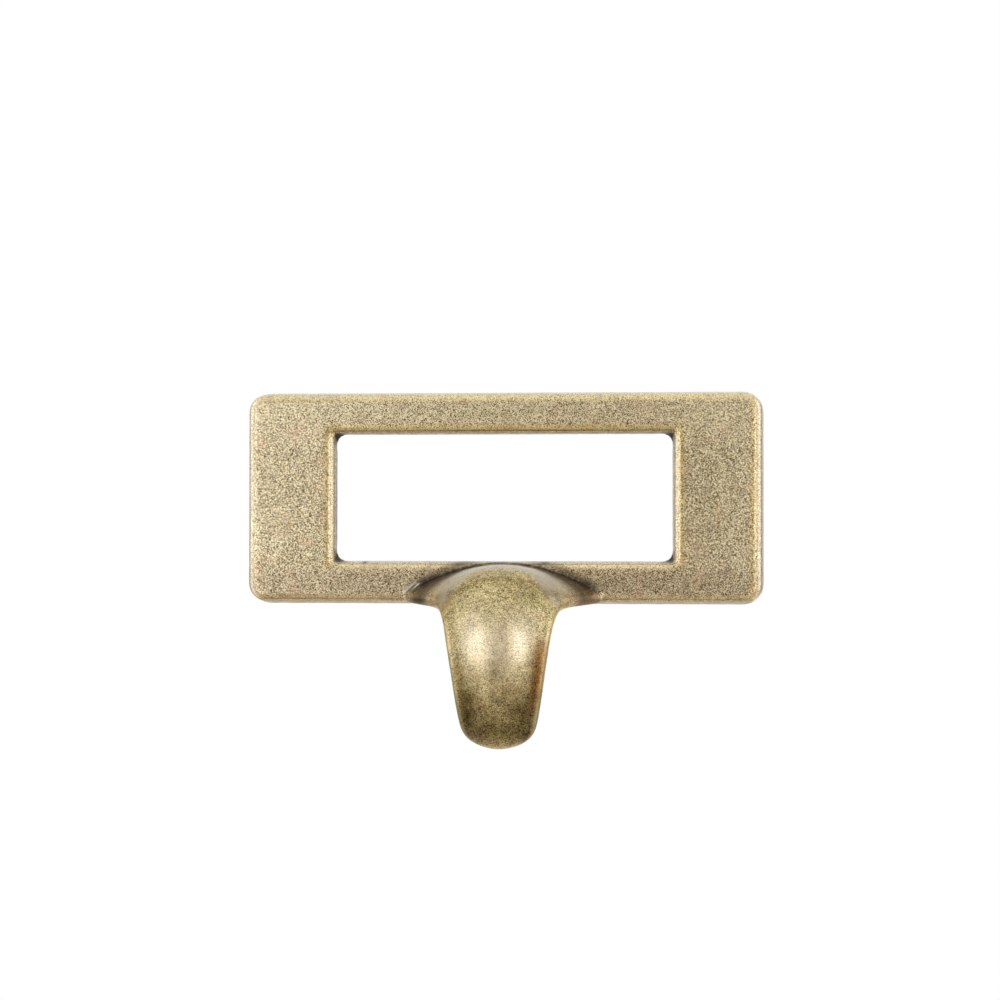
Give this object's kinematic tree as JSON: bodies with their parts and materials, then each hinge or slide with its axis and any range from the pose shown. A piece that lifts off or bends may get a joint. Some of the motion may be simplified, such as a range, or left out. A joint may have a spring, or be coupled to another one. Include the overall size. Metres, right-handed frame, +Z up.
{
  "type": "label frame pull",
  "caption": "Flat rectangular card frame with a rounded front edge and an open window; a crowned tongue flares out of its bottom rail and bends down to be pulled with a finger.",
  "frame": {"origin": "midway between the two tapped holes, on the back plane that lies against the drawer front", "axes": "+X along the frame, +Z up, +Y into the drawer; the face of the frame looks along -Y"},
  "size_m": [0.078, 0.0199, 0.0525],
  "materials": {
    "antique_brass": "brass plate, darkened and rubbed back to a mottled satin, lacquered"
  },
  "bodies": {
    "root": {"label_frame_pull": "antique_brass"}
  },
  "joints": []
}
